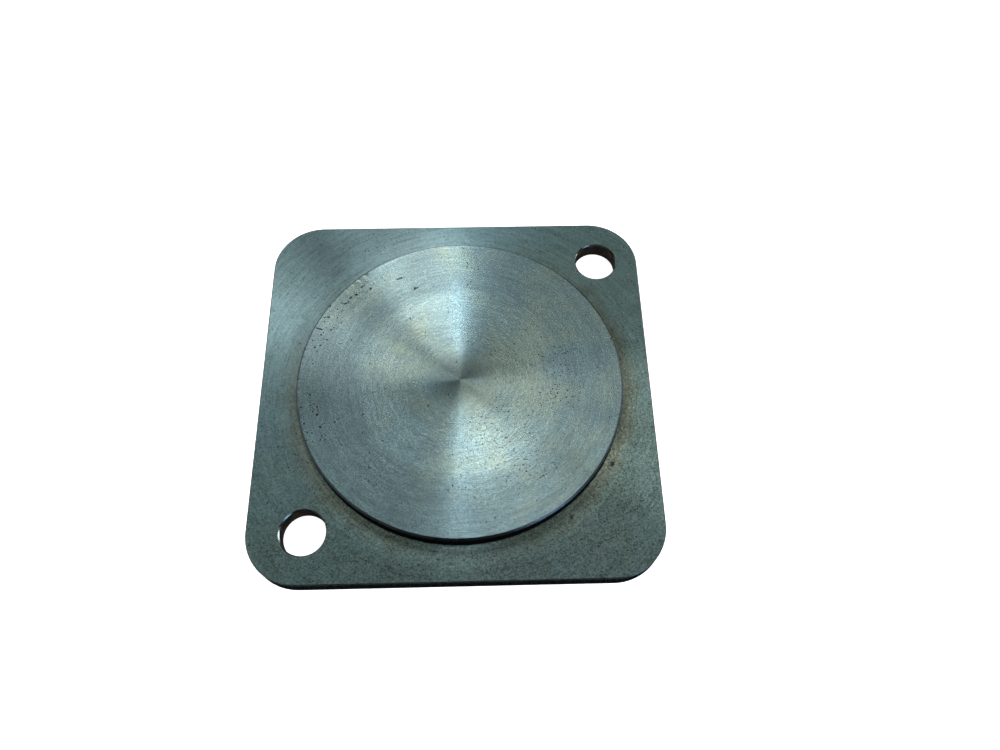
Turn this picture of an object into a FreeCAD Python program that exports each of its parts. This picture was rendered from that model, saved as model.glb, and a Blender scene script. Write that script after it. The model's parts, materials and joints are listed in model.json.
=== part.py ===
import FreeCAD, Part
import os
import Sketcher

# Blind flange for a two-bolt pilot-located port. It is one solid piece of steel: a square plate with
# rounded corners, a low round spigot turned on its sealing face, and two bolt holes on one diagonal.
#
# Frame: the origin is the middle of the plate's back face and +Z points out of the spigot. The spigot
# and the bolt holes share the lathe's centre, which lies a little to +X of the middle of the plate.

SIZES = {
    "plate_side": 100.0,
    "plate_thickness": 5.0,
    "corner_radius": 13.0,
    "spigot_diameter": 82.5,
    "spigot_height": 4.0,
    "spigot_chamfer": 0.5,
    "bolt_square": 75.0,
    "bolt_hole_diameter": 11.0,
    "edge_break": 0.3,
    "turned_centre_x": 1.1,
}
BOLT_COUNT = 2
NEAR = 1e-4


def add_sizes(doc):
    """The sheet of driving dimensions in millimetres, one row for each: its name and its value."""
    sheet = doc.addObject("Spreadsheet::Sheet", "sizes")
    for row, (name, value) in enumerate(SIZES.items(), start=1):
        sheet.set(f"A{row}", name)
        sheet.set(f"B{row}", str(value))
        sheet.setAlias(f"B{row}", name)
    doc.recompute()
    return sheet


def origin_plane(body, role):
    return next(f for f in body.Origin.OriginFeatures if f.Role == role)


def new_sketch(body, name):
    """An empty sketch on the plane of the plate's back face."""
    sketch = body.newObject("Sketcher::SketchObject", name)
    sketch.AttachmentSupport = [(origin_plane(body, "XY_Plane"), "")]
    sketch.MapMode = "FlatFace"
    return sketch


def put_on_turned_centre(sketch):
    """Moves the sketch to the sealing face, with its origin on the lathe's centre."""
    sketch.setExpression("AttachmentOffset.Base.x", "sizes.turned_centre_x")
    sketch.setExpression("AttachmentOffset.Base.z", "sizes.plate_thickness")


def drive(sketch, constraint, name, expression):
    """Adds a constraint with a name of its own and binds it to the sheet."""
    index = sketch.addConstraint(constraint)
    sketch.renameConstraint(index, name)
    sketch.setExpression(f"Constraints.{name}", expression)


def draw_square(sketch, side, expression):
    """A square about the sketch's origin, whose side follows the expression."""
    half = side / 2
    corners = [(-half, -half), (half, -half), (half, half), (-half, half)]
    points = [FreeCAD.Vector(x, y, 0) for x, y in corners]
    for start, end in zip(points, points[1:] + points[:1]):
        sketch.addGeometry(Part.LineSegment(start, end), False)
    for line in range(4):
        following = (line + 1) % 4
        sketch.addConstraint(Sketcher.Constraint("Coincident", line, 2, following, 1))
    for line, way in enumerate(("Horizontal", "Vertical", "Horizontal", "Vertical")):
        sketch.addConstraint(Sketcher.Constraint(way, line))
    sketch.addConstraint(Sketcher.Constraint("Symmetric", 0, 1, 2, 1, -1, 1))
    sketch.addConstraint(Sketcher.Constraint("Equal", 0, 1))
    drive(sketch, Sketcher.Constraint("DistanceX", 0, 1, 0, 2, side), "side", expression)


def draw_centred_circle(sketch, radius, expression):
    """A circle about the sketch's origin, whose radius follows the expression."""
    flat = FreeCAD.Vector(0, 0, 1)
    circle = sketch.addGeometry(Part.Circle(FreeCAD.Vector(), flat, radius), False)
    sketch.addConstraint(Sketcher.Constraint("Coincident", circle, 3, -1, 1))
    drive(sketch, Sketcher.Constraint("Radius", circle, radius), "radius", expression)


def checked(doc, feature, grows):
    """Recomputes and makes sure that the feature added material, or took some away."""
    body = feature.getParentGeoFeatureGroup()
    before = 0.0 if body.Shape.isNull() else body.Shape.Volume
    body.Tip = feature
    doc.recompute()
    change = body.Shape.Volume - before
    if (change > 0) != grows or abs(change) < NEAR:
        raise RuntimeError(f"{feature.Label} changed the volume by {change:.4f} mm3")
    return feature


def add_plate(doc, body):
    sketch = new_sketch(body, "plate_outline")
    draw_square(sketch, SIZES["plate_side"], "sizes.plate_side")
    pad = body.newObject("PartDesign::Pad", "plate")
    pad.Profile = sketch
    pad.setExpression("Length", "sizes.plate_thickness")
    return checked(doc, pad, grows=True)


def add_dress_up(doc, body, kind, name, edges, size, expression):
    """A Fillet or a Chamfer on some edges of the body as it is so far."""
    base = body.Tip
    feature = body.newObject(f"PartDesign::{kind}", name)
    feature.Base = (base, edges)
    feature.setExpression(size, expression)
    return checked(doc, feature, grows=False)


def edge_names(shape, wanted):
    return [f"Edge{i}" for i, edge in enumerate(shape.Edges, start=1) if wanted(edge)]


def level(edge):
    """The height of an edge that lies in a horizontal plane, or None for any other edge."""
    box = edge.BoundBox
    return box.ZMin if box.ZLength < NEAR else None


def round_plate_corners(doc, body):
    upright = edge_names(body.Shape, lambda edge: level(edge) is None)
    add_dress_up(doc, body, "Fillet", "corners", upright, "Radius", "sizes.corner_radius")


def add_spigot(doc, body):
    """The round spigot, returned as its sketch, whose normal is the lathe's axis."""
    sketch = new_sketch(body, "spigot_circle")
    put_on_turned_centre(sketch)
    radius = SIZES["spigot_diameter"] / 2
    draw_centred_circle(sketch, radius, "sizes.spigot_diameter / 2")
    pad = body.newObject("PartDesign::Pad", "spigot")
    pad.Profile = sketch
    pad.setExpression("Length", "sizes.spigot_height")
    checked(doc, pad, grows=True)
    top = SIZES["plate_thickness"] + SIZES["spigot_height"]
    rim = edge_names(body.Shape, lambda edge: level(edge) is not None and abs(level(edge) - top) < NEAR)
    add_dress_up(doc, body, "Chamfer", "spigot_rim", rim, "Size", "sizes.spigot_chamfer")
    return sketch


def drill_bolt_holes(doc, body, lathe_sketch):
    """One through hole on the plate's diagonal, and its twin half a turn round the lathe's axis."""
    sketch = new_sketch(body, "bolt_hole_circle")
    put_on_turned_centre(sketch)
    half = SIZES["bolt_square"] / 2
    centre = FreeCAD.Vector(half, half, 0)
    radius = SIZES["bolt_hole_diameter"] / 2
    circle = sketch.addGeometry(Part.Circle(centre, FreeCAD.Vector(0, 0, 1), radius), False)
    for way, name in (("DistanceX", "across"), ("DistanceY", "along")):
        constraint = Sketcher.Constraint(way, -1, 1, circle, 3, half)
        drive(sketch, constraint, name, "sizes.bolt_square / 2")
    constraint = Sketcher.Constraint("Radius", circle, radius)
    drive(sketch, constraint, "radius", "sizes.bolt_hole_diameter / 2")
    doc.recompute()
    hole = body.newObject("PartDesign::Hole", "bolt_hole")
    hole.Profile = sketch
    hole.DepthType = "ThroughAll"
    hole.setExpression("Diameter", "sizes.bolt_hole_diameter")
    checked(doc, hole, grows=False)
    pattern = body.newObject("PartDesign::PolarPattern", "bolt_holes")
    pattern.Originals = [hole]
    pattern.Axis = (lathe_sketch, ["N_Axis"])
    pattern.Angle = 360
    pattern.Occurrences = BOLT_COUNT
    checked(doc, pattern, grows=False)


def break_plate_edges(doc, body):
    """A small chamfer round both faces of the plate and at both ends of the bolt holes."""
    hole_radius = SIZES["bolt_hole_diameter"] / 2
    faces = (0.0, SIZES["plate_thickness"])

    def on_outline(edge):
        box = body.Shape.BoundBox
        middle = edge.valueAt((edge.FirstParameter + edge.LastParameter) / 2)
        inset = SIZES["corner_radius"] * (1 - 0.5**0.5) + NEAR
        return max(abs(middle.x), abs(middle.y)) > box.XMax - inset

    def at_hole(edge):
        return isinstance(edge.Curve, Part.Circle) and abs(edge.Curve.Radius - hole_radius) < NEAR

    def wanted(edge):
        height = level(edge)
        on_face = height is not None and min(abs(height - face) for face in faces) < NEAR
        return on_face and (at_hole(edge) or on_outline(edge))

    names = edge_names(body.Shape, wanted)
    add_dress_up(doc, body, "Chamfer", "edge_breaks", names, "Size", "sizes.edge_break")


def add_blind_flange(doc):
    body = doc.addObject("PartDesign::Body", "blind_flange")
    body.Label = "blind_flange"
    add_plate(doc, body)
    round_plate_corners(doc, body)
    lathe_sketch = add_spigot(doc, body)
    drill_bolt_holes(doc, body, lathe_sketch)
    break_plate_edges(doc, body)
    body.Placement = FreeCAD.Placement()
    return body


def refuse_faults(doc, parts):
    """Stops if any object of the document failed, or if a sub-part isn't one valid solid."""
    failed = [o.Label for o in doc.Objects if {"Invalid", "Error"} & set(o.State)]
    if failed:
        raise RuntimeError(f"these objects failed: {failed}")
    for part in parts:
        shape = part.Shape
        if shape.isNull() or not shape.isValid() or len(shape.Solids) != 1:
            raise RuntimeError(f"{part.Label} isn't one valid solid")


def main():
    doc = FreeCAD.newDocument("blind_flange_part")
    add_sizes(doc)
    parts = [add_blind_flange(doc)]
    doc.recompute()
    refuse_faults(doc, parts)
    os.makedirs("parts", exist_ok=True)
    for part in parts:
        part.Shape.exportStep(os.path.join("parts", f"{part.Label}.step"))
        box = part.Shape.BoundBox
        sides = f"{box.XLength:.2f} x {box.YLength:.2f} x {box.ZLength:.2f} mm"
        print(f"{part.Label}: {sides}, {part.Shape.Volume / 1000:.2f} cm3")


main()
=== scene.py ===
import json
import math
import random

import bpy
from mathutils import Matrix, Vector
from mathutils.geometry import delaunay_2d_cdt


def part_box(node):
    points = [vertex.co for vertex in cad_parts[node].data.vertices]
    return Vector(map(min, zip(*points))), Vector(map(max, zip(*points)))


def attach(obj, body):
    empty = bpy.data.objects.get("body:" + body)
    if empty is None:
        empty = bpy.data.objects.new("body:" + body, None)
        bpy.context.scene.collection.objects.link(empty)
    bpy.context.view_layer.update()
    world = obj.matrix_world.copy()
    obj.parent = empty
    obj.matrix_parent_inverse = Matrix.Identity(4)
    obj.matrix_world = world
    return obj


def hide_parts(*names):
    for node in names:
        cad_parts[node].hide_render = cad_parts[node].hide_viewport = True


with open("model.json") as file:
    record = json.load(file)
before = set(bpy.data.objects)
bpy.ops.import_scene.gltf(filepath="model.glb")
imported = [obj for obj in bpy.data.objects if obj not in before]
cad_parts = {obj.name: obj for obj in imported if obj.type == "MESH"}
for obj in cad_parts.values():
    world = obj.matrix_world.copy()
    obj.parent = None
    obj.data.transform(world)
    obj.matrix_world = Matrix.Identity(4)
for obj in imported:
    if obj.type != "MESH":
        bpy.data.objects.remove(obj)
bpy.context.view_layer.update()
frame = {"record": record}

# The blind flange in the photo: one closed mesh with its small wear, the materials of its turned and its
# plain surfaces, and the stage, lights and camera. The flange's lengths are in millimetres until its mesh
# is made.

MM = 0.001
RNG = random.Random(41)


# ---------------------------------------------------------------- sizes

def mount(name):
    return next(m for m in frame["record"]["mounts"] if m["name"] == name)


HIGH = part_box("blind_flange")[1] / MM
HALF_SIDE = HIGH.x
TOP_Z = HIGH.z
FACE_Z = mount("sealing_face")["pos_m"][2] / MM
CENTRE = Vector(mount("bolt_holes")["pos_m"][:2]) / MM
SPIGOT_R = mount("spigot")["dims"]["r_mm"]
SPIGOT_CHAMFER = TOP_Z - mount("spigot")["pos_m"][2] / MM - mount("spigot")["dims"]["length_mm"] / 2
HOLE_R = mount("bolt_holes")["dims"]["hole_r_mm"]
BOLT_R = mount("bolt_holes")["dims"]["pcd_mm"] / 2
HOLE_ANGLES = (math.radians(45), math.radians(225))
HOLE_CENTRES = [CENTRE + Vector((math.cos(a), math.sin(a))) * BOLT_R for a in HOLE_ANGLES]

# The frame doesn't give these two, so they repeat the part's own sizes.
CORNER_R = 13.0
EDGE_BREAK = 0.3

# The thin dark line that the tool left in the sealing face at the spigot's root.
ROOT_GAP, ROOT_DEPTH = 0.06, 0.08


# ---------------------------------------------------------------- wear: pits in the faces, nicks in the rim

class Pit:
    """A small dent: an oval bowl at a point of the plan, with its own size, depth and turn."""

    def __init__(self, x, y, size, depth, stretch=1.0, turn=0.0):
        self.at = Vector((x, y))
        self.size = size
        self.depth = depth
        self.stretch = stretch
        self.turn = turn

    def rim_point(self, share, angle):
        x = self.size * share * self.stretch * math.cos(angle)
        y = self.size * share / self.stretch * math.sin(angle)
        return self.at + Matrix.Rotation(self.turn, 2) @ Vector((x, y))

    def drop(self, x, y):
        offset = Matrix.Rotation(-self.turn, 2) @ (Vector((x, y)) - self.at)
        away = math.hypot(offset.x / self.stretch, offset.y * self.stretch) / self.size
        return self.depth * max(0.0, 1 - away * away) ** 0.7 if away < 1 else 0.0


def polar(radius, degrees):
    """A point of the plan at a radius and an angle about the lathe's centre."""
    angle = math.radians(degrees)
    return CENTRE.x + radius * math.cos(angle), CENTRE.y + radius * math.sin(angle)


def scattered_pits(count, radii, degrees, sizes):
    """Pits strewn over a sector of a ring."""
    pits = []
    for _ in range(count):
        place = polar(RNG.uniform(*radii), RNG.uniform(*degrees))
        size = RNG.uniform(*sizes)
        pits.append(Pit(*place, size, 0.45 * size, RNG.uniform(1.0, 1.3), RNG.uniform(0, math.pi)))
    return pits


def spigot_pits():
    """Two short scratches, the larger pits by the rim at the far left, and four fields of small ones."""
    pits = [
        Pit(*polar(34.4, 118), 0.4, 0.12, 2.4, 0.49),
        Pit(*polar(29.6, 113), 0.4, 0.12, 2.4, 0.4),
        Pit(*polar(37.5, 137), 0.35, 0.2, 1.2, 0.2),
        Pit(*polar(36.2, 131), 0.35, 0.2, 1.3, 0.9),
        Pit(*polar(38.2, 133), 0.32, 0.16, 1.3, 0.5),
        Pit(*polar(38.0, 139.5), 0.38, 0.2, 1.2, 1.0),
        Pit(*polar(37.9, 143), 0.3, 0.15, 1.4, 0.3),
    ]
    pits += scattered_pits(26, (36.0, 39.2), (126, 196), (0.12, 0.26))
    pits += scattered_pits(60, (9.0, 33.0), (268, 330), (0.09, 0.18))
    pits += scattered_pits(24, (22.0, 30.0), (345, 372), (0.09, 0.2))
    pits += scattered_pits(14, (26.0, 34.0), (292, 312), (0.1, 0.2))
    return pits


def plate_pits():
    """Five pits close round the spigot, and a field of small ones at its near right."""
    pits = [
        Pit(*polar(43.2, 329.5), 0.62, 0.3, 1.25, 1.0),
        Pit(*polar(43.9, 307), 0.4, 0.25, 1.5, 1.9),
        Pit(*polar(42.7, 77.5), 0.42, 0.22, 1.1, 0.3),
        Pit(*polar(42.2, 34.0), 0.36, 0.22, 1.1, 0.7),
        Pit(*polar(43.2, 261.5), 0.3, 0.2, 1.4, 0.0),
    ]
    pits += scattered_pits(26, (42.2, 46.5), (285, 318), (0.09, 0.17))
    return pits


def pits_by_cell(pits, cell):
    """A function that gives the pits in a point's square cell of the plan and the eight round it."""
    cells = {}
    for pit in pits:
        column, row = round(pit.at.x / cell), round(pit.at.y / cell)
        for dx in (-1, 0, 1):
            for dy in (-1, 0, 1):
                cells.setdefault((column + dx, row + dy), []).append(pit)
    return lambda x, y: cells.get((round(x / cell), round(y / cell)), ())


def lowered(pits):
    """A function that gives how deep a face with these pits lies at a point of the plan."""
    close = pits_by_cell(pits, 1)
    return lambda x, y: max((pit.drop(x, y) for pit in close(x, y)), default=0.0)


def rim_nicks():
    """A function that gives how far the spigot's rim is chipped back at an angle: most at its far left."""
    places = [(128.5, 0.7, 0.15), (131.5, 1.0, 0.2), (134.5, 0.6, 0.2), (137.5, 0.9, 0.2)]
    for _ in range(14):
        places.append((RNG.uniform(122, 200), RNG.uniform(0.25, 0.5), RNG.uniform(0.05, 0.16)))
    for _ in range(12):
        places.append((RNG.uniform(0, 360), RNG.uniform(0.25, 0.5), RNG.uniform(0.04, 0.1)))

    def chipped(angle):
        degrees = math.degrees(angle) % 360
        deepest = 0.0
        for middle, half_width, depth in places:
            away = abs((degrees - middle + 180) % 360 - 180) / half_width
            if away < 1:
                deepest = max(deepest, depth * (1 - away * away))
        return deepest
    return chipped


# ---------------------------------------------------------------- loops and points of the flange's skin

TURNED_TOP, TURNED_FACE, RIM, WALL, EDGE, BORE, SIDES, BACK, DIRT = range(9)
RIM_COUNT = 720
HOLE_COUNT = 96
OUTLINE_STEP = 0.8

# The faces' points: their spacings, the height of a row as a share of it, and how far each strays.
TOP_SPACING, FACE_SPACING, BACK_SPACING = 0.9, 0.8, 1.4
STAGGER = 0.866
STRAY = 0.12

# The rings of points round a pit's middle: each one's radius as a share of the pit's, and its count.
PIT_RINGS = ((0.45, 6), (0.8, 9), (1.0, 11), (1.35, 9))

# A level strip this wide runs beside each edge break, so that the shading stays flat up to it.
STRIP = 0.25


def circle(centre, radius, height, count=RIM_COUNT):
    """A level circle, whose radius may be a function of the angle, as may its height."""
    points = []
    for i in range(count):
        angle = 2 * math.pi * i / count
        r = radius(angle) if callable(radius) else radius
        z = height(angle) if callable(height) else height
        points.append((centre.x + r * math.cos(angle), centre.y + r * math.sin(angle), z))
    return points


def rounded_square(inset, height):
    """The plate's outline, drawn in by an inset, anticlockwise from the start of the first corner."""
    radius = CORNER_R - inset
    straight = HALF_SIDE - CORNER_R
    on_arc = max(8, round(math.pi / 2 * CORNER_R / OUTLINE_STEP))
    on_side = round(2 * straight / OUTLINE_STEP)
    points = []
    for quarter in range(4):
        turn = Matrix.Rotation(quarter * math.pi / 2, 2)
        for i in range(on_arc + 1):
            angle = math.pi / 2 * i / on_arc
            corner = Vector((straight + radius * math.cos(angle), straight + radius * math.sin(angle)))
            points.append(turn @ corner)
        for i in range(1, on_side):
            along = straight - 2 * straight * i / on_side
            points.append(turn @ Vector((along, straight + radius)))
    return [(p.x, p.y, height) for p in points]


# How far the faces' inner points stay from the loops round them, beyond each chamfer or edge break.
TOP_MARGIN, ROOT_MARGIN, OUTLINE_MARGIN, HOLE_MARGIN, BACK_MARGIN = 1.9, 0.75, 0.7, 0.65, 0.6


def from_centre(x, y):
    return (Vector((x, y)) - CENTRE).length


def inside_outline(x, y, margin):
    straight = HALF_SIDE - CORNER_R
    dx, dy = max(abs(x) - straight, 0.0), max(abs(y) - straight, 0.0)
    return math.hypot(dx, dy) < CORNER_R - margin and max(abs(x), abs(y)) < HALF_SIDE - margin


def clear_of_holes(x, y, margin):
    return all((Vector((x, y)) - c).length > HOLE_R + margin for c in HOLE_CENTRES)


def on_spigot(x, y):
    return from_centre(x, y) < SPIGOT_R - SPIGOT_CHAMFER - TOP_MARGIN


def on_face(x, y):
    apart = from_centre(x, y) > SPIGOT_R + ROOT_GAP + ROOT_MARGIN
    inside = inside_outline(x, y, EDGE_BREAK + OUTLINE_MARGIN)
    return apart and inside and clear_of_holes(x, y, EDGE_BREAK + HOLE_MARGIN)


def on_back(x, y):
    margin = EDGE_BREAK + BACK_MARGIN
    return inside_outline(x, y, margin) and clear_of_holes(x, y, margin)


def field_points(spacing, wanted, pits):
    """Staggered points over the plan where wanted, closer together in and round each pit."""
    points = []
    for pit in pits:
        points.append(tuple(pit.at))
        for share, count in PIT_RINGS:
            for i in range(count):
                points.append(tuple(pit.rim_point(share, 2 * math.pi * i / count + share)))
    close = pits_by_cell(pits, 2)
    rows = int(HALF_SIDE / (spacing * STAGGER)) + 1
    columns = int(HALF_SIDE / spacing) + 1
    for row in range(-rows, rows + 1):
        for column in range(-columns, columns + 1):
            x = (column + 0.5 * (row % 2)) * spacing + RNG.uniform(-STRAY, STRAY) * spacing
            y = row * spacing * STAGGER + RNG.uniform(-STRAY, STRAY) * spacing
            if all((Vector((x, y)) - p.at).length > 1.7 * p.size + 0.1 for p in close(x, y)):
                points.append((x, y))
    return [p for p in points if wanted(*p)]


# ---------------------------------------------------------------- the flange's skin, one closed mesh

INSIDE_OUTLINE = 1      # delaunay_2d_cdt keeps only the triangles within the outermost loop
SHARP_FROM = math.radians(32)
IN_A_PIT = 0.01         # a triangle with a corner deeper than this is part of a pit


class Skin:
    """Points and faces of one closed mesh, built from loops of points that share their vertices."""

    def __init__(self):
        self.points = []
        self.faces = []
        self.slots = []

    def loop(self, points):
        start = len(self.points)
        self.points += [Vector(p) for p in points]
        return list(range(start, len(self.points)))

    def face(self, corners, slot):
        self.faces.append(corners)
        self.slots.append(slot)

    def bridge(self, first, second, slot):
        """Quads between two loops of the same length, facing left of the way the first loop runs."""
        count = len(first)
        for i in range(count):
            j = (i + 1) % count
            self.face((first[i], first[j], second[j], second[i]), slot)

    def wall(self, loops, slots, inward=False):
        """Bands between the loops of a stack, from the top down, that face outward or into a hole."""
        for upper, lower, slot in zip(loops, loops[1:], slots):
            if inward:
                self.bridge(upper, lower, slot)
            else:
                self.bridge(lower, upper, slot)

    def cap(self, outline, holes, inner, height, up, slot_at):
        """Triangles that fill an outline through the inner points, but not its holes, which are convex."""
        loops = [outline] + holes
        ids = [i for loop in loops for i in loop]
        edges = []
        start = 0
        for loop in loops:
            size = len(loop)
            edges += [(start + i, start + (i + 1) % size) for i in range(size)]
            start += size
        ids += self.loop([(x, y, height(x, y)) for x, y in inner])
        plan = [self.points[i].xy for i in ids]
        _, _, triangles, origins, _, _ = delaunay_2d_cdt(plan, edges, [], INSIDE_OUTLINE, 1e-6)
        hole_of = {i: number for number, loop in enumerate(holes) for i in loop}
        for triangle in triangles:
            corners = [ids[origins[v][0]] for v in triangle]
            owners = {hole_of.get(c) for c in corners}
            if len(owners) == 1 and None not in owners:
                continue
            slot = slot_at([self.points[c] for c in corners])
            self.face(tuple(corners if up else reversed(corners)), slot)

    def pitted_cap(self, outline, holes, inner, pits, level, slot):
        """A cap that faces up, lowered in its pits, which have the slot for dirt."""
        drop = lowered(pits)
        self.cap(
            outline, holes, inner, lambda x, y: level - drop(x, y), True,
            lambda corners: DIRT if any(drop(c.x, c.y) > IN_A_PIT for c in corners) else slot,
        )

    def mesh(self, name):
        """The mesh, smooth but for its sharp edges and the brinks of its pits."""
        mesh = bpy.data.meshes.new(name)
        mesh.from_pydata([p * MM for p in self.points], [], self.faces)
        mesh.polygons.foreach_set("material_index", self.slots)
        mesh.validate()
        mesh.shade_smooth()
        mesh.set_sharp_from_angle(angle=SHARP_FROM)
        slots_at = {}
        for polygon in mesh.polygons:
            for key in polygon.edge_keys:
                slots_at.setdefault(key, set()).add(polygon.material_index)
        for edge in mesh.edges:
            if DIRT in slots_at[edge.key] and len(slots_at[edge.key]) > 1:
                edge.use_edge_sharp = True
        return mesh


def spigot_loops(skin):
    """The spigot, and the dark line at its root; returns the loops where its top and the face start."""
    nick = rim_nicks()
    top_r = SPIGOT_R - SPIGOT_CHAMFER
    profile = [
        (lambda a: top_r - 0.2 - nick(a), TOP_Z),
        (lambda a: top_r - 0.8 * nick(a), lambda a: TOP_Z - 0.35 * nick(a)),
        (lambda a: SPIGOT_R - 0.25 * nick(a), TOP_Z - SPIGOT_CHAMFER),
        (SPIGOT_R, (TOP_Z + FACE_Z) / 2),
        (SPIGOT_R, FACE_Z - ROOT_DEPTH),
    ]
    loops = [skin.loop(circle(CENTRE, r, z)) for r, z in profile]
    skin.wall(loops, (TURNED_TOP, RIM, WALL, WALL))
    torn = [RNG.uniform(-0.04, 0.09) for _ in range(RIM_COUNT)]
    ragged = [(torn[i] + torn[i - 1]) / 2 + torn[i] / 3 for i in range(RIM_COUNT)]

    def torn_radius(angle):
        index = round(angle / (2 * math.pi) * RIM_COUNT) % RIM_COUNT
        return SPIGOT_R + ROOT_GAP + ragged[index]

    floor = skin.loop(circle(CENTRE, lambda a: torn_radius(a) - 0.02, FACE_Z - ROOT_DEPTH))
    brink = skin.loop(circle(CENTRE, torn_radius, FACE_Z))
    face = skin.loop(circle(CENTRE, SPIGOT_R + ROOT_GAP + 0.35, FACE_Z))
    skin.bridge(floor, loops[-1], WALL)
    skin.bridge(brink, floor, WALL)
    skin.bridge(face, brink, TURNED_FACE)
    return loops[0], face


def hole_loops(skin, centre):
    """A bolt hole from the front face to the back; returns its loops on the two faces."""
    profile = [
        (HOLE_R + EDGE_BREAK + STRIP, FACE_Z),
        (HOLE_R + EDGE_BREAK, FACE_Z),
        (HOLE_R, FACE_Z - EDGE_BREAK),
        (HOLE_R, FACE_Z / 2),
        (HOLE_R, EDGE_BREAK),
        (HOLE_R + EDGE_BREAK, 0.0),
    ]
    loops = [skin.loop(circle(centre, r, z, HOLE_COUNT)) for r, z in profile]
    skin.wall(loops, (TURNED_FACE, EDGE, BORE, BORE, BACK), inward=True)
    return loops[0], loops[-1]


def side_loops(skin):
    """The plate's edge from the front face round to the back; returns its loops on the two faces."""
    profile = [
        (EDGE_BREAK + STRIP, FACE_Z),
        (EDGE_BREAK, FACE_Z),
        (0.0, FACE_Z - EDGE_BREAK),
        (0.0, FACE_Z * 0.66),
        (0.0, FACE_Z * 0.33),
        (0.0, EDGE_BREAK),
        (EDGE_BREAK, 0.0),
    ]
    loops = [skin.loop(rounded_square(inset, z)) for inset, z in profile]
    skin.wall(loops, (TURNED_FACE, EDGE, SIDES, SIDES, SIDES, SIDES))
    return loops[0], loops[-1]


def build_flange():
    skin = Skin()
    rim, root = spigot_loops(skin)
    holes = [hole_loops(skin, centre) for centre in HOLE_CENTRES]
    front, back = side_loops(skin)

    pits = spigot_pits()
    skin.pitted_cap(rim, [], field_points(TOP_SPACING, on_spigot, pits), pits, TOP_Z, TURNED_TOP)
    pits = plate_pits()
    openings = [root] + [upper for upper, _ in holes]
    skin.pitted_cap(front, openings, field_points(FACE_SPACING, on_face, pits), pits, FACE_Z, TURNED_FACE)
    openings = [lower for _, lower in holes]
    points = field_points(BACK_SPACING, on_back, [])
    skin.cap(back, openings, points, lambda x, y: 0.0, False, lambda corners: BACK)

    flange = bpy.data.objects.new("flange", skin.mesh("flange"))
    bpy.context.scene.collection.objects.link(flange)
    return flange


# ---------------------------------------------------------------- materials

class Graph:
    """A material's node tree, with short ways to add the nodes that are used here."""

    def __init__(self, name, metallic):
        self.material = bpy.data.materials.new(name)
        self.material.use_nodes = True
        self.tree = self.material.node_tree
        self.shader = self.tree.nodes["Principled BSDF"]
        self.shader.inputs["Metallic"].default_value = metallic

    def feed(self, socket, value):
        if isinstance(value, bpy.types.NodeSocket):
            self.tree.links.new(value, socket)
        else:
            socket.default_value = value

    def node(self, kind, inputs, **settings):
        node = self.tree.nodes.new(kind)
        for key, value in settings.items():
            setattr(node, key, value)
        for key, value in inputs.items():
            self.feed(node.inputs[key], value)
        return node

    def math(self, operation, first, second=0.0, third=0.0):
        inputs = {0: first, 1: second, 2: third}
        return self.node("ShaderNodeMath", inputs, operation=operation).outputs[0]

    def vector(self, operation, first, second=(0, 0, 0)):
        return self.node("ShaderNodeVectorMath", {0: first, 1: second}, operation=operation).outputs[0]

    def scaled(self, vector, factor):
        inputs = {0: vector, "Scale": factor}
        return self.node("ShaderNodeVectorMath", inputs, operation="SCALE").outputs[0]

    def weighed(self, weight, value):
        return self.math("MULTIPLY", value, weight)

    def product(self, *factors):
        total = factors[0]
        for factor in factors[1:]:
            total = self.math("MULTIPLY", total, factor)
        return total

    def total(self, *terms):
        total = terms[0]
        for term in terms[1:]:
            total = self.math("ADD", total, term)
        return total

    def varied(self, *terms):
        """A factor of one plus terms, which are pairs of a weight and a value."""
        total = 1.0
        for weight, term in terms:
            total = self.math("MULTIPLY_ADD", term, weight, total)
        return total

    def shift(self, change, *masks):
        """A factor that is one, plus the change where all the masks are one."""
        return self.varied((change, self.product(*masks)))

    def span(self, value, start, end, low=0.0, high=1.0):
        """A smooth step from low to high while the value goes from start to end."""
        inputs = {"Value": value, "From Min": start, "From Max": end, "To Min": low, "To Max": high}
        return self.node("ShaderNodeMapRange", inputs, interpolation_type="SMOOTHSTEP").outputs[0]

    def ring(self, radius, start, rise, end, fall):
        """One between two radii, fading over a width at each."""
        inner = self.span(radius, start - rise, start + rise)
        return self.product(inner, self.span(radius, end - fall, end + fall, 1.0, 0.0))

    def noise(self, vector, scale, detail=2.0, roughness=0.5):
        """Noise of unit contrast about zero."""
        inputs = {"Vector": vector, "Scale": scale, "Detail": detail, "Roughness": roughness}
        value = self.node("ShaderNodeTexNoise", inputs).outputs[0]
        return self.math("MULTIPLY_ADD", value, 4.0, -2.0)

    def dots(self, vector, scale, share, size):
        """Round dots in a share of the cells: one at a dot's middle, nothing away from it."""
        inputs = {"Vector": vector, "Scale": scale}
        cell = self.node("ShaderNodeTexVoronoi", inputs, voronoi_dimensions="2D")
        pick = self.node("ShaderNodeSeparateColor", {0: cell.outputs["Color"]})
        reach = self.math("MULTIPLY", self.math("POWER", pick.outputs[1], 2.0), size)
        inside = self.math("SUBTRACT", 1.0, self.math("DIVIDE", cell.outputs["Distance"], reach))
        chosen = self.math("LESS_THAN", pick.outputs[0], share)
        return self.math("MULTIPLY", self.math("SMOOTH_MAX", inside, 0.0, 0.2), chosen)

    def mixed(self, share, first, second):
        """A colour that goes from the first, which may come from a node, to the second."""
        if not isinstance(first, bpy.types.NodeSocket):
            first = (*first, 1)
        inputs = {0: share, 6: first, 7: (*second, 1)}
        return self.node("ShaderNodeMix", inputs, data_type="RGBA").outputs[2]


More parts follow.
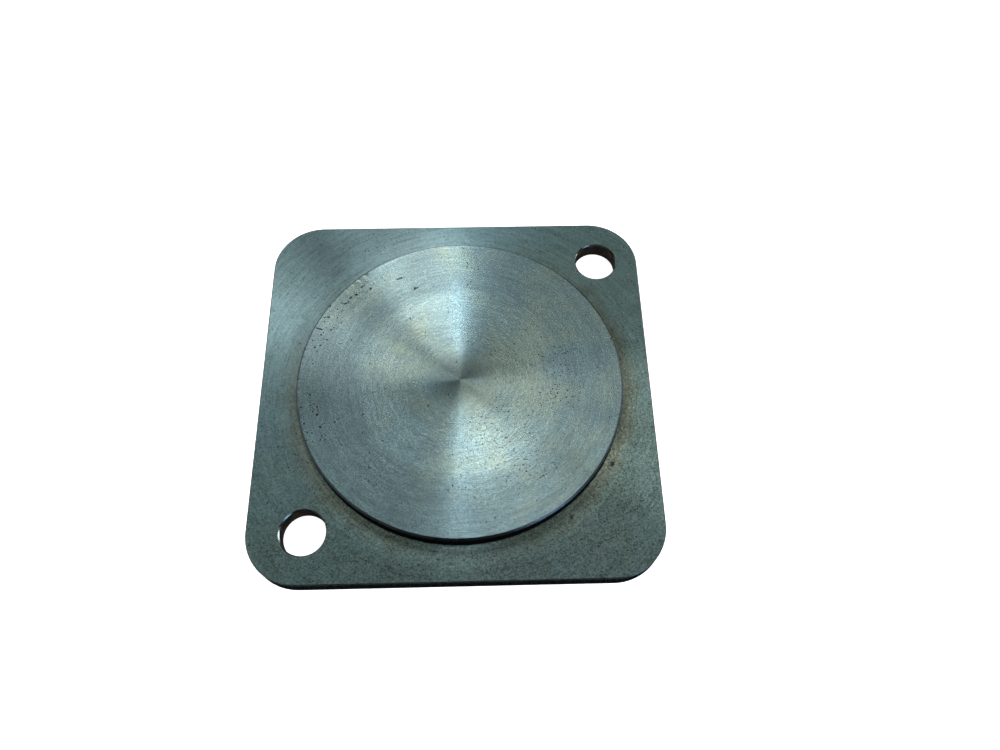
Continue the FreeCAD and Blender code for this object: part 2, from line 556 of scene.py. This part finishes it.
class Turned(Graph):
    """Steel turned on a lathe: it has the plan's coordinates in millimetres about the lathe's centre."""

    def __init__(self, name):
        super().__init__(name, metallic=1.0)
        place = self.node("ShaderNodeTexCoord", {}).outputs["Object"]
        self.place = self.scaled(place, 1 / MM)
        about = self.vector("SUBTRACT", self.place, (*CENTRE, 0))
        self.flat = self.vector("MULTIPLY", about, (1, 1, 0))
        inputs = {0: self.flat}
        self.radius = self.node("ShaderNodeVectorMath", inputs, operation="LENGTH").outputs["Value"]
        self.unit = self.vector("NORMALIZE", self.flat)
        self.feed(self.shader.inputs["Tangent"], self.unit)
        self.shader.inputs["Anisotropic"].default_value = 1.0

    def swept(self, pitch, reach, detail=2.0):
        """Noise drawn out round the lathe's centre: the pitch is across and the reach is around it."""
        across = self.node("ShaderNodeCombineXYZ", {2: self.math("DIVIDE", self.radius, pitch)}).outputs[0]
        around = self.scaled(self.unit, reach)
        return self.noise(self.vector("ADD", around, across), 1.0, detail, 0.55)

    def towards(self, degrees, starts=0.0, full=1.0):
        """A mask of a sector that points at an angle; it starts and is full at cosines of the angle away."""
        way = (math.cos(math.radians(degrees)), math.sin(math.radians(degrees)), 0)
        inputs = {0: self.unit, 1: way}
        along = self.node("ShaderNodeVectorMath", inputs, operation="DOT_PRODUCT").outputs["Value"]
        return self.span(along, starts, full)

    def finish(self, colour, tone_with_painted_light, roughness):
        self.feed(self.shader.inputs["Base Color"], self.scaled(colour, tone_with_painted_light))
        self.feed(self.shader.inputs["Roughness"], roughness)
        return self.material


def turned_spigot():
    """The spigot's top. Its sectors' tones follow the photo's, angle by angle, about the lathe's centre:
    painted highlights and painted shade in its base colour, over its own rings, patina and grain.
    """
    g = Turned("turned_spigot")
    fine, grooves, bands = g.swept(0.3, 7, 3.0), g.swept(0.8, 3), g.swept(2.6, 1.6)
    grain = g.noise(g.place, 2.7, 1.0, 0.6)
    clouds = g.noise(g.place, 0.07, 3.0, 0.55)
    blotches = g.noise(g.vector("ADD", g.place, (70, 0, 0)), 0.2, 3.0, 0.6)

    outer = g.span(g.radius, 23.0, 28.5)
    wavy = g.math("MULTIPLY_ADD", clouds, 1.5, g.radius)
    dull_arc = g.product(g.ring(wavy, 27.5, 2.2, 31.0, 2.6), g.towards(145, -0.1, 0.8))
    right, left = g.towards(345, -0.3, 0.95), g.towards(205, 0.1, 0.95)

    patina = g.total(clouds, g.weighed(0.2, blotches), g.weighed(0.2, dull_arc))
    # Bluer towards the left and less blue towards the right: a painted reflection tint; the outer ring's blue
    # is its own.
    painted_side_tint = g.total(g.weighed(-0.35, right), g.weighed(0.45, left), g.weighed(0.4, outer))
    blue = g.span(g.math("ADD", patina, painted_side_tint), -0.6, 0.7)
    colour = g.mixed(blue, (0.33, 0.42, 0.365), (0.265, 0.38, 0.39))

    # Its own outer ring, dull arc, duller middle, clouds and grain, times painted highlights and painted
    # shade: the factors masked towards an angle.
    tone_with_painted_light = g.product(
        g.shift(-0.15, outer),
        g.shift(-0.06, dull_arc),
        g.shift(0.33, g.ring(g.radius, 13, 4, 29, 4), g.towards(296, 0.75, 1.0)),
        g.shift(-0.15, g.span(g.radius, 14, 36), g.towards(238, 0.5, 1.0)),
        g.shift(0.12, right),
        g.shift(-0.22, g.span(g.radius, 25, 36), g.towards(98, 0.93, 1.0)),
        g.shift(0.17, g.span(g.radius, 14, 24), g.towards(121, 0.9, 1.0)),
        g.shift(0.26, g.span(g.radius, 12, 32), g.towards(42, 0.65, 1.0)),
        g.shift(0.26, g.span(g.radius, 12, 22), g.towards(212, 0.85, 1.0)),
        g.shift(-0.16, g.span(g.radius, 28, 36), g.towards(178, 0.9, 1.0)),
        g.shift(-0.13, g.towards(254, 0.961, 1.0)),
        g.shift(-0.1, g.towards(271, 0.98, 1.0)),
        g.span(g.radius, 3.0, 20.0, 0.82, 1.0),
        g.varied((-0.06, clouds), (0.06, blotches), (0.04, bands)),
        g.varied((0.17, fine), (0.08, grooves), (0.24, grain)),
    )

    large, middling = g.dots(g.flat, 1.9, 0.6, 0.34), g.dots(g.flat, 1.6, 0.4, 0.36)
    small, stray = g.dots(g.flat, 0.9, 0.5, 0.4), g.dots(g.flat, 1.0, 0.12, 0.3)
    speckled = g.total(
        g.product(large, g.towards(300, 0.55, 0.95), g.ring(g.radius, 11, 3, 34, 2)),
        g.product(middling, g.towards(358, 0.8, 0.98), g.ring(g.radius, 20, 2, 32, 3)),
        g.product(small, g.towards(172, 0.75, 0.95), g.ring(g.radius, 35, 1.5, 42, 1)),
        g.weighed(0.8, stray),
    )
    dark = g.span(speckled, 0.05, 0.5)
    colour = g.mixed(dark, colour, (0.05, 0.05, 0.038))

    heart = g.span(g.radius, 0.5, 10.0)
    roughness = g.total(
        g.math("MULTIPLY_ADD", heart, -0.23, 0.485),
        g.weighed(0.02, dull_arc),
        g.weighed(0.2, dark),
    )
    return g.finish(colour, tone_with_painted_light, roughness)


def turned_face():
    """The sealing face: cooler and darker than the spigot, with a brown stain in places round its root,
    painted highlights and painted shade by sector, painted shade towards its near side and painted light
    beside the spigot's near root.
    """
    g = Turned("turned_face")
    fine, grooves, bands = g.swept(0.3, 9, 3.0), g.swept(0.9, 4), g.swept(3.0, 2.0)
    coarseness = g.math("MULTIPLY_ADD", g.towards(290, -0.4, 0.8), 0.34, 0.26)
    grain = g.product(g.noise(g.place, 2.7, 1.0, 0.6), coarseness)
    clouds = g.noise(g.vector("ADD", g.place, (0, 50, 0)), 0.07, 4.0, 0.6)
    blotches = g.noise(g.place, 0.2, 3.0, 0.6)

    # Bluer in cloudy patches, and towards the upper left as a painted reflection tint.
    blue = g.span(g.total(g.weighed(0.6, clouds), g.towards(135, -0.1, 0.8)), -0.5, 1.2)
    colour = g.mixed(blue, (0.238, 0.34, 0.3), (0.208, 0.318, 0.334))
    stain = g.product(
        g.span(g.math("MULTIPLY_ADD", blotches, 1.2, g.radius), 41.5, 47.5, 1.0, 0.0),
        g.total(g.weighed(0.8, g.towards(345, 0.2, 0.9)), g.weighed(0.6, g.towards(215, 0.4, 1.0)), 0.14),
    )
    colour = g.mixed(g.math("MINIMUM", stain, 0.8), colour, (0.205, 0.215, 0.155))

    outside = g.span(g.radius, 44.0, 51.0)
    # Painted light: brightens the face beside the spigot's root on the near side, where the spigot's shadow
    # falls.
    painted_light_by_root = g.total(
        g.product(g.towards(262, 0.1, 0.8), g.span(g.radius, 41.4, 43.2, 1.0, 0.0)),
        g.product(g.towards(303, 0.6, 1.0), g.span(g.radius, 41.4, 45.0, 1.0, 0.0)),
    )
    # Its own clouds, bands and grain, times painted shade towards the near side, the painted light by the
    # root, and painted highlights and painted shade by sector.
    tone_with_painted_light = g.product(
        g.varied((0.11, clouds), (0.08, blotches), (0.05, bands), (0.22, fine), (0.1, grooves), (1.0, grain)),
        g.shift(-0.5, g.towards(272, 0.0, 0.9), g.span(g.radius, 40.0, 49.0)),
        g.shift(0.8, painted_light_by_root),
        g.shift(-0.12, g.towards(100, 0.88, 1.0)),
        g.shift(-0.28, outside, g.towards(115, 0.75, 0.95)),
        g.shift(0.3, outside, g.towards(154, 0.93, 1.0)),
        g.shift(0.18, g.towards(50, 0.5, 1.0)),
        g.shift(0.32, g.towards(218, 0.6, 1.0)),
        g.shift(-0.27, g.towards(278, 0.8, 1.0)),
    )

    dark = g.span(g.dots(g.flat, 0.9, 0.3, 0.24), 0.1, 0.5)
    colour = g.mixed(dark, colour, (0.05, 0.045, 0.035))
    # Bright specks towards the right: painted glints.
    bright = g.dots(g.vector("ADD", g.flat, (33, 9, 0)), 0.9, 0.3, 0.26)
    painted_glint = g.span(g.product(bright, g.towards(10, 0.1, 0.9)), 0.1, 0.6)
    colour = g.mixed(painted_glint, colour, (0.5, 0.58, 0.54))
    return g.finish(colour, tone_with_painted_light, g.math("MULTIPLY_ADD", stain, 0.06, 0.315))


def worn_steel(name, colour, rust, rusted, roughness, metallic=1.0, grazing=1.0):
    """Steel that runs to rust where its patches pass a level, and that may be dull at a grazing angle."""
    g = Graph(name, metallic)
    g.shader.inputs["Specular Tint"].default_value = (grazing, grazing, grazing, 1)
    place = g.scaled(g.node("ShaderNodeTexCoord", {}).outputs["Object"], 1 / MM)
    patches = g.noise(place, 0.45, 4.0, 0.65)
    grain = g.noise(place, 2.5, 3.0, 0.7)
    shade = g.mixed(g.span(patches, rusted, rusted + 1.6), colour, rust)
    g.feed(g.shader.inputs["Base Color"], g.scaled(shade, g.varied((0.12, grain), (0.1, patches))))
    g.feed(g.shader.inputs["Roughness"], g.math("MULTIPLY_ADD", grain, 0.03, roughness))
    inputs = {"Height": g.total(grain, patches), "Distance": 0.01 * MM}
    g.feed(g.shader.inputs["Normal"], g.node("ShaderNodeBump", inputs).outputs[0])
    return g.material


# The upright walls' metallic edge tint: nearly none, a painted shade so that they are dark from the photo's
# high angle.
PAINTED_SHADE_TINT = 0.02


def flange_materials():
    """The flange's materials, in the order of its slots."""
    return [
        turned_spigot(),
        turned_face(),
        worn_steel("spigot_rim", (0.21, 0.25, 0.27), (0.14, 0.13, 0.1), 0.4, 0.22),
        worn_steel("spigot_wall", (0.12, 0.135, 0.135), (0.08, 0.06, 0.04), 0.3, 0.33, grazing=PAINTED_SHADE_TINT),
        worn_steel("broken_edge", (0.36, 0.43, 0.43), (0.22, 0.19, 0.14), 0.4, 0.2),
        # The bores' near-black base: their rust, darkened further as painted shade inside the holes.
        worn_steel("bore", (0.022, 0.019, 0.014), (0.1, 0.056, 0.024), -0.2, 0.55, metallic=0.5),
        worn_steel("sides", (0.22, 0.25, 0.27), (0.15, 0.11, 0.075), 0.3, 0.33, grazing=PAINTED_SHADE_TINT),
        worn_steel("back", (0.36, 0.41, 0.4), (0.27, 0.25, 0.2), 0.4, 0.42),
        worn_steel("pit_dirt", (0.045, 0.05, 0.048), (0.062, 0.055, 0.042), 0.0, 0.7, metallic=0.4),
    ]


# ---------------------------------------------------------------- the stage, in metres

FLOOR_Z = -0.0001       # just under the flange's back face
FLOOR_R, SWEEP_R, WALL_TOP = 1.7, 0.7, 2.6
SWEEP_STEPS = 12
STAGE_COUNT = 96


def add_backdrop():
    """A pale round floor that sweeps up into a wall; the steel doesn't mirror it."""
    profile = [(FLOOR_R, 0.0)]
    for step in range(1, SWEEP_STEPS + 1):
        angle = math.radians(90 * step / SWEEP_STEPS)
        profile.append((FLOOR_R + SWEEP_R * math.sin(angle), SWEEP_R - SWEEP_R * math.cos(angle)))
    profile.append((FLOOR_R + SWEEP_R, WALL_TOP))
    points = [(0.0, 0.0, FLOOR_Z)]
    for radius, height in profile:
        points += circle(Vector((0, 0)), radius, height + FLOOR_Z, STAGE_COUNT)
    faces = [(0, 1 + i, 1 + (i + 1) % STAGE_COUNT) for i in range(STAGE_COUNT)]
    for row in range(len(profile) - 1):
        start = 1 + row * STAGE_COUNT
        for i in range(STAGE_COUNT):
            j = (i + 1) % STAGE_COUNT
            faces.append((start + i, start + STAGE_COUNT + i, start + STAGE_COUNT + j, start + j))
    mesh = bpy.data.meshes.new("backdrop")
    mesh.from_pydata(points, [], faces)
    mesh.shade_smooth()
    backdrop = bpy.data.objects.new("backdrop", mesh)
    bpy.context.scene.collection.objects.link(backdrop)
    backdrop.visible_glossy = False
    backdrop.visible_shadow = False

    paper = Graph("pale_paper", metallic=0)
    paper.material.cycles.emission_sampling = "NONE"
    settings = {
        "Base Color": (0.9, 0.9, 0.9, 1),
        "Roughness": 1,
        "Specular IOR Level": 0,
        "Emission Color": (1, 1, 1, 1),
        "Emission Strength": 0.85,
    }
    for name, value in settings.items():
        paper.shader.inputs[name].default_value = value
    mesh.materials.append(paper.material)


# ---------------------------------------------------------------- world and lights

SKY = (0.9, 1, 1.04, 1)
OVERHEAD, FAR_SIDE, LOW_DOWN = 0.25, 0.1, 0.22
LAMP_DISTANCE = 1.2     # metres from the frame's origin
PANEL_POWER = 4         # watts a square metre at a brightness of one
WARM, PLAIN, COOL, BLUE = (1.05, 1, 0.97), (1, 1, 1), (0.88, 1, 1.12), (0.46, 0.7, 1)


def add_world():
    """A soft grey sky, brighter overhead, low down and on the far side, and dark above the horizon."""
    world = bpy.data.worlds.new("studio")
    bpy.context.scene.world = world
    world.use_nodes = True
    tree = world.node_tree
    background = tree.nodes["Background"]
    background.inputs["Color"].default_value = SKY
    coord = tree.nodes.new("ShaderNodeTexCoord")
    split = tree.nodes.new("ShaderNodeSeparateXYZ")
    tree.links.new(coord.outputs["Generated"], split.inputs[0])
    changes = (
        ("Z", -0.8, -0.3, LOW_DOWN),
        ("Z", 0.05, 0.16, -LOW_DOWN),
        ("Z", 0.45, 0.85, OVERHEAD),
        ("Y", -0.05, 0.6, FAR_SIDE),
    )
    steps = []
    for axis, start, end, change in changes:
        step = tree.nodes.new("ShaderNodeMapRange")
        step.interpolation_type = "SMOOTHSTEP"
        step.inputs["From Min"].default_value = start
        step.inputs["From Max"].default_value = end
        step.inputs["To Max"].default_value = change
        tree.links.new(split.outputs[axis], step.inputs["Value"])
        steps.append(step.outputs[0])
    strength = steps[0]
    for step in steps[1:]:
        total = tree.nodes.new("ShaderNodeMath")
        tree.links.new(strength, total.inputs[0])
        tree.links.new(step, total.inputs[1])
        strength = total.outputs[0]
    tree.links.new(strength, background.inputs["Strength"])


def add_panel(name, towards, width, height, brightness, colour):
    """A soft rectangular light that faces the part from a direction, and that the camera doesn't see."""
    data = bpy.data.lights.new(name, "AREA")
    data.shape = "RECTANGLE"
    data.size = width
    data.size_y = height
    data.color = colour
    data.energy = brightness * width * height * PANEL_POWER
    panel = bpy.data.objects.new(name, data)
    place = Vector(towards).normalized() * LAMP_DISTANCE
    panel.matrix_world = Matrix.Translation(place) @ place.to_track_quat("Z", "Y").to_matrix().to_4x4()
    panel.visible_camera = False
    bpy.context.scene.collection.objects.link(panel)


def add_lights():
    """A tall window behind the part with dimmer panes to its left, and fills high and low round it."""
    add_panel("window", (-0.145, 0.65, 0.746), 0.168, 0.24, 3.8, WARM)
    add_panel("window_edge", (-0.064, 0.67, 0.74), 0.05, 0.8, 2.4, WARM)
    add_panel("window_gap", (-0.031, 0.62, 0.784), 0.014, 0.44, 12.0, COOL)
    add_panel("skylight", (-0.03, 0.07, 0.99), 0.014, 0.2, 16.0, COOL)
    add_panel("pane_low", (-0.265, 0.5, 0.825), 0.174, 0.21, 2.2, WARM)
    add_panel("pane_high", (-0.265, 0.8, 0.54), 0.174, 0.32, 0.5, COOL)
    add_panel("right_high", (0.7, 0.02, 0.71), 0.32, 0.2, 5.0, PLAIN)
    add_panel("right_far", (0.88, 0.35, 0.32), 0.455, 0.266, 6.0, PLAIN)
    add_panel("low_blue", (0.66, -0.66, 0.36), 0.45, 0.35, 1.5, BLUE)
    add_panel("left_far", (-0.64, 0.64, 0.42), 0.6, 0.4, 0.9, PLAIN)


# ---------------------------------------------------------------- camera

EYE = Vector((7.26, -91.55, 199.17)) * MM
AIM = Vector((0.01871, 0.43784, -0.89886))
UPRIGHT = Vector((0.01798, 0.89872, 0.43815))
LENS, SENSOR = 30.06, 36


def add_camera():
    """The photo's camera, as fitted to the flange's outline."""
    data = bpy.data.cameras.new("camera")
    data.sensor_width = SENSOR
    data.lens = LENS
    data.clip_start = 0.005
    camera = bpy.data.objects.new("camera", data)
    right = AIM.cross(UPRIGHT).normalized()
    up = right.cross(AIM).normalized()
    turn = Matrix((right, up, -AIM.normalized())).transposed()
    camera.matrix_world = Matrix.Translation(EYE) @ turn.to_4x4()
    bpy.context.scene.collection.objects.link(camera)
    bpy.context.scene.camera = camera


# ---------------------------------------------------------------- the scene

flange = build_flange()
for material in flange_materials():
    flange.data.materials.append(material)
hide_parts("blind_flange")
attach(flange, "root")

add_backdrop()
add_world()
add_lights()
add_camera()
bpy.context.scene.view_settings.view_transform = "Standard"
